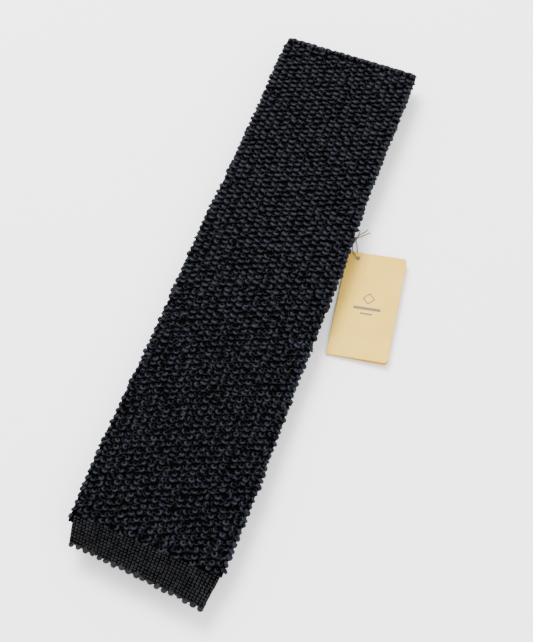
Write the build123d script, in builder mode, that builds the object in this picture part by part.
from build123d import *
import math
import os

# Square-ended silk knit necktie, folded in four on a table, with its swing tag.
# +Y runs along the folded tie towards the top fold, +X across it, +Z up.
# The origin is on the table, under the middle of the folded tie. Millimetres.

# Driving dimensions
folded_length = 336.0
panel_thickness = 3.6
panel_gap = 0.4
blade_gap = 2.4
fold_clearance = 0.4
neck_width = 46.0
shoulder_width = 80.0
tail_width = 52.0

# Heights of the four panels, from the table up
tail_z = 0.0
neck_z = tail_z + panel_thickness + panel_gap
shoulder_z = neck_z + panel_thickness + panel_gap
blade_z = shoulder_z + panel_thickness + blade_gap

# Hinge lines of the three folds, as (y, z)
tail_fold_axis = (folded_length / 2 - 6.5, neck_z - panel_gap / 2)
mid_fold_axis = (-folded_length / 2 + 12.0, shoulder_z - panel_gap / 2)
blade_fold_axis = (folded_length / 2 - 4.8, blade_z - blade_gap / 2)

# The wide blade's end droops on one radius past this line
bend_y = -138.0
drape_radius = 260.0
blade_run = 13.0
seam_height = 1.2
picot_height = 1.4
hem_thickness = 2.2

# The wide hem is knitted crooked: its right side is longer. Half width and y at each corner
hem_top_left = (-39.3, -150.8)
hem_top_right = (39.7, -150.8)
hem_low_left = (-36.8, -160.6)
hem_low_right = (37.4, -168.0)

# Tail end
tail_end_y = -136.0
tail_hem_height = 13.0

# Back of the wide blade
keeper_y = -18.0
keeper_length = 48.0
keeper_band = 12.0
keeper_thickness = 0.8
keeper_slot = 0.6
tack_thickness = 0.3
label_thickness = 0.5
brand_label_y = 26.0
brand_label_size = (56.0, 22.0)
care_label_y = 66.0
care_label_size = (22.0, 28.0)
stitch_thickness = 0.25

# Swing tag: a folded card, turned on the table beside the tie, resting on its thread
tag_size = (33.0, 64.5)
tag_corner = (38.7, 48.0)
tag_turn = 8.0
tag_z = 0.85
card_thickness = 0.4
card_corner_radius = 2.2
spine_radius = 0.7
cover_lift = 5.0
cover_gap = 0.3
hole_place = (5.9, -3.9)
hole_radius = 1.4

# Thread, and the edge stitch of the blade that it hangs from
edge_stitch_place = (41.25, 54.6, 14.6)
edge_stitch_radius = 0.5
edge_stitch_height = 2.4
thread_diameter = 0.62
knot_radius = 0.95
knot_place = (40.8, 52.2, 9.8)


def save(part, label):
    """Labels one finished piece and writes its STEP file."""
    part.label = label
    export_step(part, f"parts/{label}.step")
    size = part.bounding_box().size
    print(f"{label}: {size.X:.1f} x {size.Y:.1f} x {size.Z:.1f}, {part.volume:.1f} mm3, valid {part.is_valid}")


def mirrored_outline(stations):
    """Closed plan outline from (y, half width) stations down the right side."""
    right = [(half, y) for y, half in stations]
    left = [(-half, y) for y, half in reversed(stations)]
    return right + left


def flat_panel(stations, z):
    """One flat stretch of the knitted tube, with its long edges softened."""
    with BuildPart() as panel:
        with BuildSketch(Plane.XY.offset(z)):
            with BuildLine():
                Polyline(*mirrored_outline(stations), close=True)
            make_face()
        extrude(amount=panel_thickness)
        fillet(panel.edges().filter_by(Axis.Y, tolerance=20).filter_by(lambda e: e.length > 20), 0.8)
    return panel


def fold_roll(axis, side, outer, inner, width):
    """The rounded turn of the knitted tube at a fold: half a ring with two short legs."""
    y, z = axis
    leg = y - side * fold_clearance
    with BuildPart() as roll:
        with BuildSketch(Plane.YZ):
            with BuildLine():
                Line((leg, z + outer), (y, z + outer))
                ThreePointArc((y, z + outer), (y + side * outer, z), (y, z - outer))
                Line((y, z - outer), (leg, z - outer))
                Line((leg, z - outer), (leg, z - inner))
                Line((leg, z - inner), (y, z - inner))
                ThreePointArc((y, z - inner), (y + side * inner, z), (y, z + inner))
                Line((y, z + inner), (leg, z + inner))
                Line((leg, z + inner), (leg, z + outer))
            make_face()
        extrude(amount=width / 2, both=True)
    return roll


def drape(run, height):
    """Side-view point (y, z) of the drooping end, run past the bend, height above the back face."""
    angle = run / drape_radius
    radius = drape_radius + height
    return (bend_y - radius * math.sin(angle), blade_z - drape_radius + radius * math.cos(angle))


def drape_strip(start, end, low, high, footprint):
    """A strip across the drooping end, between two runs and two heights, cut to a plan footprint."""
    middle = (start + end) / 2
    with BuildPart() as strip:
        with BuildSketch(Plane.YZ):
            with BuildLine():
                ThreePointArc(drape(start, low), drape(middle, low), drape(end, low))
                Line(drape(end, low), drape(end, high))
                ThreePointArc(drape(end, high), drape(middle, high), drape(start, high))
                Line(drape(start, high), drape(start, low))
            make_face()
        extrude(amount=60, both=True)
        with BuildSketch(Plane.XY):
            with BuildLine():
                Polyline(*footprint, close=True)
            make_face()
        extrude(amount=blade_z + 20, mode=Mode.INTERSECT)
    return strip


def block(center, size):
    """A plain rectangular piece, centred in plan and standing on its z."""
    x, y, z = center
    with BuildPart() as piece:
        with BuildSketch(Plane((x, y, z))):
            Rectangle(size[0], size[1])
        extrude(amount=size[2])
    return piece


os.makedirs("parts", exist_ok=True)

# Tail panel: the narrow end, which lies on the table
tail_hem_top = tail_end_y + picot_height + tail_hem_height
tail_stations = [
    (tail_fold_axis[0] - fold_clearance, neck_width / 2),
    (60.0, neck_width / 2),
    (-50.0, tail_width / 2),
    (tail_hem_top + seam_height, tail_width / 2),
]
tail_panel = flat_panel(tail_stations, tail_z)
save(tail_panel.part, "tail_panel")

# Tail seam, hem band and looped edge, in the middle of the panel's thickness
tail_middle_z = tail_z + panel_thickness / 2
tail_seam = block((0, tail_hem_top + seam_height / 2, tail_middle_z - 1.3), (tail_width - 3, seam_height, 2.6))
save(tail_seam.part, "tail_seam")

tail_hem_base = tail_end_y + picot_height
with BuildPart() as tail_hem_band:
    with BuildSketch(Plane.XY.offset(tail_middle_z - hem_thickness / 2)):
        with BuildLine():
            Polyline(
                *mirrored_outline([(tail_hem_top, tail_width / 2 - 1.5), (tail_hem_base, tail_width / 2 - 2.8)]),
                close=True,
            )
        make_face()
    extrude(amount=hem_thickness)
save(tail_hem_band.part, "tail_hem_band")

tail_hem_edge = block((0, tail_end_y + picot_height / 2, tail_middle_z - 1.2), (tail_width - 5.6, picot_height, 2.4))
save(tail_hem_edge.part, "tail_hem_edge")

# Fold between tail and neck
single_fold = panel_thickness + panel_gap / 2
tail_fold = fold_roll(tail_fold_axis, 1, single_fold, panel_gap / 2, neck_width)
save(tail_fold.part, "tail_fold")

# Neck panel
neck_stations = [
    (tail_fold_axis[0] - fold_clearance, neck_width / 2),
    (mid_fold_axis[0] + fold_clearance, neck_width / 2),
]
neck_panel = flat_panel(neck_stations, neck_z)
save(neck_panel.part, "neck_panel")

# Fold between neck and shoulder
mid_fold = fold_roll(mid_fold_axis, -1, single_fold, panel_gap / 2, neck_width)
save(mid_fold.part, "mid_fold")

# Shoulder panel: as wide as the blade at the top fold, narrowing to the neck
shoulder_stations = [
    (blade_fold_axis[0] - fold_clearance, shoulder_width / 2),
    (90.0, shoulder_width / 2 - 0.6),
    (-10.0, neck_width / 2 + 0.4),
    (mid_fold_axis[0] + fold_clearance, neck_width / 2),
]
shoulder_panel = flat_panel(shoulder_stations, shoulder_z)
save(shoulder_panel.part, "shoulder_panel")

# Fold between shoulder and wide blade: the top edge of the folded tie
blade_fold = fold_roll(blade_fold_axis, 1, panel_thickness + blade_gap / 2, blade_gap / 2, shoulder_width)
save(blade_fold.part, "blade_fold")

# Wide blade: flat, then drooping to its hem
blade_stations = [
    (blade_fold_axis[0] - fold_clearance, 40.6),
    (95.0, 40.2),
    (58.0, 40.6),
    (30.0, 41.8),
    (-40.0, 41.0),
    (-110.0, 42.2),
    (-156.0, 41.2),
]
with BuildPart() as wide_blade:
    with BuildSketch(Plane.YZ):
        with BuildLine():
            Line((blade_stations[0][0], blade_z), (bend_y, blade_z))
            ThreePointArc((bend_y, blade_z), drape(blade_run / 2, 0), drape(blade_run, 0))
            Line(drape(blade_run, 0), drape(blade_run, panel_thickness))
            ThreePointArc(
                drape(blade_run, panel_thickness),
                drape(blade_run / 2, panel_thickness),
                (bend_y, blade_z + panel_thickness),
            )
            Line((bend_y, blade_z + panel_thickness), (blade_stations[0][0], blade_z + panel_thickness))
            Line((blade_stations[0][0], blade_z + panel_thickness), (blade_stations[0][0], blade_z))
        make_face()
    extrude(amount=60, both=True)
    with BuildSketch(Plane.XY):
        with BuildLine():
            Polyline(*mirrored_outline(blade_stations), close=True)
        make_face()
    extrude(amount=blade_z + 20, mode=Mode.INTERSECT)
save(wide_blade.part, "wide_blade")

# Linking seam, fine-knit hem band and looped edge of the wide end
hem_low = (panel_thickness - hem_thickness) / 2
seam_end = blade_run + seam_height
seam_footprint = mirrored_outline([(-149.0, 39.7), (-154.0, 39.7)])
wide_seam = drape_strip(blade_run, seam_end, 0.5, panel_thickness - 0.5, seam_footprint)
save(wide_seam.part, "wide_seam")

hem_reach = bend_y - hem_low_right[1] + 5.0
hem_footprint = [hem_top_right, hem_low_right, hem_low_left, hem_top_left]
wide_hem_band = drape_strip(seam_end, hem_reach, hem_low, hem_low + hem_thickness, hem_footprint)
save(wide_hem_band.part, "wide_hem_band")

edge_footprint = [
    hem_low_right,
    (hem_low_right[0] - 0.2, hem_low_right[1] - picot_height),
    (hem_low_left[0] + 0.2, hem_low_left[1] - picot_height),
    hem_low_left,
]
wide_hem_edge = drape_strip(seam_end, hem_reach, hem_low - 0.1, hem_low + hem_thickness + 0.1, edge_footprint)
save(wide_hem_edge.part, "wide_hem_edge")

# One yarn loop of the blade's edge, which the tag's thread goes around
with BuildPart() as edge_stitch:
    with BuildSketch(Plane(edge_stitch_place)):
        Circle(edge_stitch_radius)
    extrude(amount=edge_stitch_height)
save(edge_stitch.part, "edge_stitch")

# Keeper loop across the blade's back, open along the tie, with a tack on each foot
keeper_low = blade_z - keeper_slot - keeper_thickness
with BuildPart() as keeper_loop:
    with BuildSketch(Plane((0, keeper_y, keeper_low))):
        Rectangle(keeper_length, keeper_band)
    extrude(amount=keeper_slot + keeper_thickness)
    with BuildSketch(Plane((0, keeper_y, keeper_low + keeper_thickness))):
        Rectangle(keeper_length - 6.0, keeper_band)
    extrude(amount=keeper_slot, mode=Mode.SUBTRACT)
save(keeper_loop.part, "keeper_loop")

tack_x = keeper_length / 2 - 1.6
for label, x in (("keeper_tack_left", -tack_x), ("keeper_tack_right", tack_x)):
    tack = block((x, keeper_y, keeper_low - tack_thickness), (1.8, keeper_band - 2, tack_thickness))
    save(tack.part, label)

# Blank woven label with a row of stitches at each end
label_low = blade_z - label_thickness
brand_label = block((0, brand_label_y, label_low), (*brand_label_size, label_thickness))
save(brand_label.part, "brand_label")

stitch_x = brand_label_size[0] / 2 - 2.0
for label, x in (("label_stitch_left", -stitch_x), ("label_stitch_right", stitch_x)):
    stitch = block((x, brand_label_y, label_low - stitch_thickness), (0.8, brand_label_size[1] - 3, stitch_thickness))
    save(stitch.part, label)

# Blank care label, sewn along its upper edge
care_label = block((-14.0, care_label_y, label_low), (*care_label_size, label_thickness))
save(care_label.part, "care_label")

care_stitch_y = care_label_y + care_label_size[1] / 2 - 2.0
care_stitch = block((-14.0, care_stitch_y, label_low - stitch_thickness), (care_label_size[0] - 3, 0.8, stitch_thickness))
save(care_stitch.part, "care_stitch")

# Swing tag. Its own axes: x across from the spine, y up to the top edge, corner at the top left
turn = math.radians(tag_turn)
lift = math.radians(cover_lift)
tag_across = Vector(math.cos(turn), math.sin(turn), 0)
tag_up = Vector(-math.sin(turn), math.cos(turn), 0)
tag_plane = Plane(origin=(*tag_corner, tag_z), x_dir=tag_across, z_dir=(0, 0, 1))
spine_origin = Vector(*tag_corner, tag_z + spine_radius)
cover_across = tag_across * math.cos(lift) + Vector(0, 0, math.sin(lift))
cover_normal = Vector(0, 0, math.cos(lift)) - tag_across * math.sin(lift)
cover_plane = Plane(
    origin=spine_origin - cover_normal * (card_thickness / 2),
    x_dir=cover_across,
    z_dir=cover_normal,
)
spine_plane = Plane(origin=spine_origin, x_dir=tag_across, z_dir=tag_up * -1)



def card_leaf(plane, start):
    """One leaf of the card from its spine edge, with two rounded corners and the thread hole."""
    with BuildPart() as leaf:
        with BuildSketch(plane) as outline:
            with BuildLine():
                Polyline(
                    (start, 0),
                    (tag_size[0], 0),
                    (tag_size[0], -tag_size[1]),
                    (start, -tag_size[1]),
                    close=True,
                )
            make_face()
            fillet(outline.vertices().group_by(Axis.X)[-1], card_corner_radius)
            with Locations(hole_place):
                Circle(hole_radius, mode=Mode.SUBTRACT)
        extrude(amount=card_thickness)
    return leaf


plain_leaf = card_leaf(tag_plane, 0)
with BuildPart() as tag_back_leaf:
    add(plain_leaf.part)
    with BuildSketch(spine_plane):
        Circle(spine_radius)
    extrude(amount=tag_size[1])
save(tag_back_leaf.part, "tag_back_leaf")

tag_cover_leaf = card_leaf(cover_plane, spine_radius + cover_gap)
save(tag_cover_leaf.part, "tag_cover_leaf")

# Thread: from the blade's edge stitch to the knot, behind the card's top edge, up through both
# leaves, over the cover's corner, back to the knot and on to a cut end
thread_route = [
    (42.2, 54.5, 15.9),
    (42.3, 53.9, 14.2),
    (41.7, 53.0, 12.0),
    (40.8, 52.2, 9.8),
    (41.9, 51.4, 5.8),
    (42.8, 50.7, 2.4),
    (43.4, 49.5, 0.42),
    (44.6, 46.9, 0.42),
    (45.05, 45.1, 0.5),
    (44.95, 44.5, 2.0),
    (44.1, 45.3, 3.0),
    (42.1, 46.8, 3.0),
    (40.5, 48.2, 3.7),
    (40.1, 50.2, 6.4),
    (40.7, 52.0, 9.4),
    (42.4, 54.6, 11.2),
    (44.7, 57.2, 11.3),
    (45.6, 59.6, 10.8),
]
runs = [Vector(*thread_route[i + 1]) - Vector(*thread_route[i]) for i in range(len(thread_route) - 1)]
turns = [runs[i].get_angle(runs[i + 1]) for i in range(len(runs) - 1)]
radii = [
    0.45 * min(runs[i].length, runs[i + 1].length) / math.tan(math.radians(turns[i] / 2))
    for i in range(len(turns))
]
print("thread runs", [round(run.length, 1) for run in runs])
print("thread turns", [round(angle) for angle in turns])
print("thread radii", [round(radius, 1) for radius in radii])
with BuildPart() as tag_thread:
    with BuildLine() as thread_line:
        FilletPolyline(*thread_route, radius=radii)
    thread_path = thread_line.wires()[0]
    with BuildSketch(Plane(origin=thread_route[0], z_dir=runs[0])):
        Circle(thread_diameter / 2)
    sweep(path=thread_path)
section = math.pi * thread_diameter**2 / 4
thread_ratio = tag_thread.part.volume / (section * thread_path.length)
print(f"thread length {thread_path.length:.1f}, volume over section times length {thread_ratio:.3f}")
save(tag_thread.part, "tag_thread")

with BuildPart() as thread_knot:
    with BuildSketch(Plane(origin=knot_place, x_dir=(0, 0, 1), z_dir=(1, 0, 0))):
        with BuildLine():
            Line((-knot_radius, 0), (knot_radius, 0))
            ThreePointArc((knot_radius, 0), (0, knot_radius), (-knot_radius, 0))
        make_face()
    revolve(axis=Axis(knot_place, (0, 0, 1)))
save(thread_knot.part, "thread_knot")

# Second cut end of the thread
end_route = [(41.4, 52.6, 9.7), (44.0, 55.2, 9.9), (47.2, 58.9, 9.3)]
end_runs = [Vector(*end_route[i + 1]) - Vector(*end_route[i]) for i in range(2)]
end_turn = math.radians(end_runs[0].get_angle(end_runs[1]))
end_radius = 0.45 * end_runs[0].length / math.tan(end_turn / 2)
with BuildPart() as thread_end:
    with BuildLine() as end_line:
        FilletPolyline(*end_route, radius=[end_radius])
    with BuildSketch(Plane(origin=end_route[0], z_dir=end_runs[0])):
        Circle(thread_diameter / 2)
    sweep(path=end_line.wires()[0])
save(thread_end.part, "thread_end")
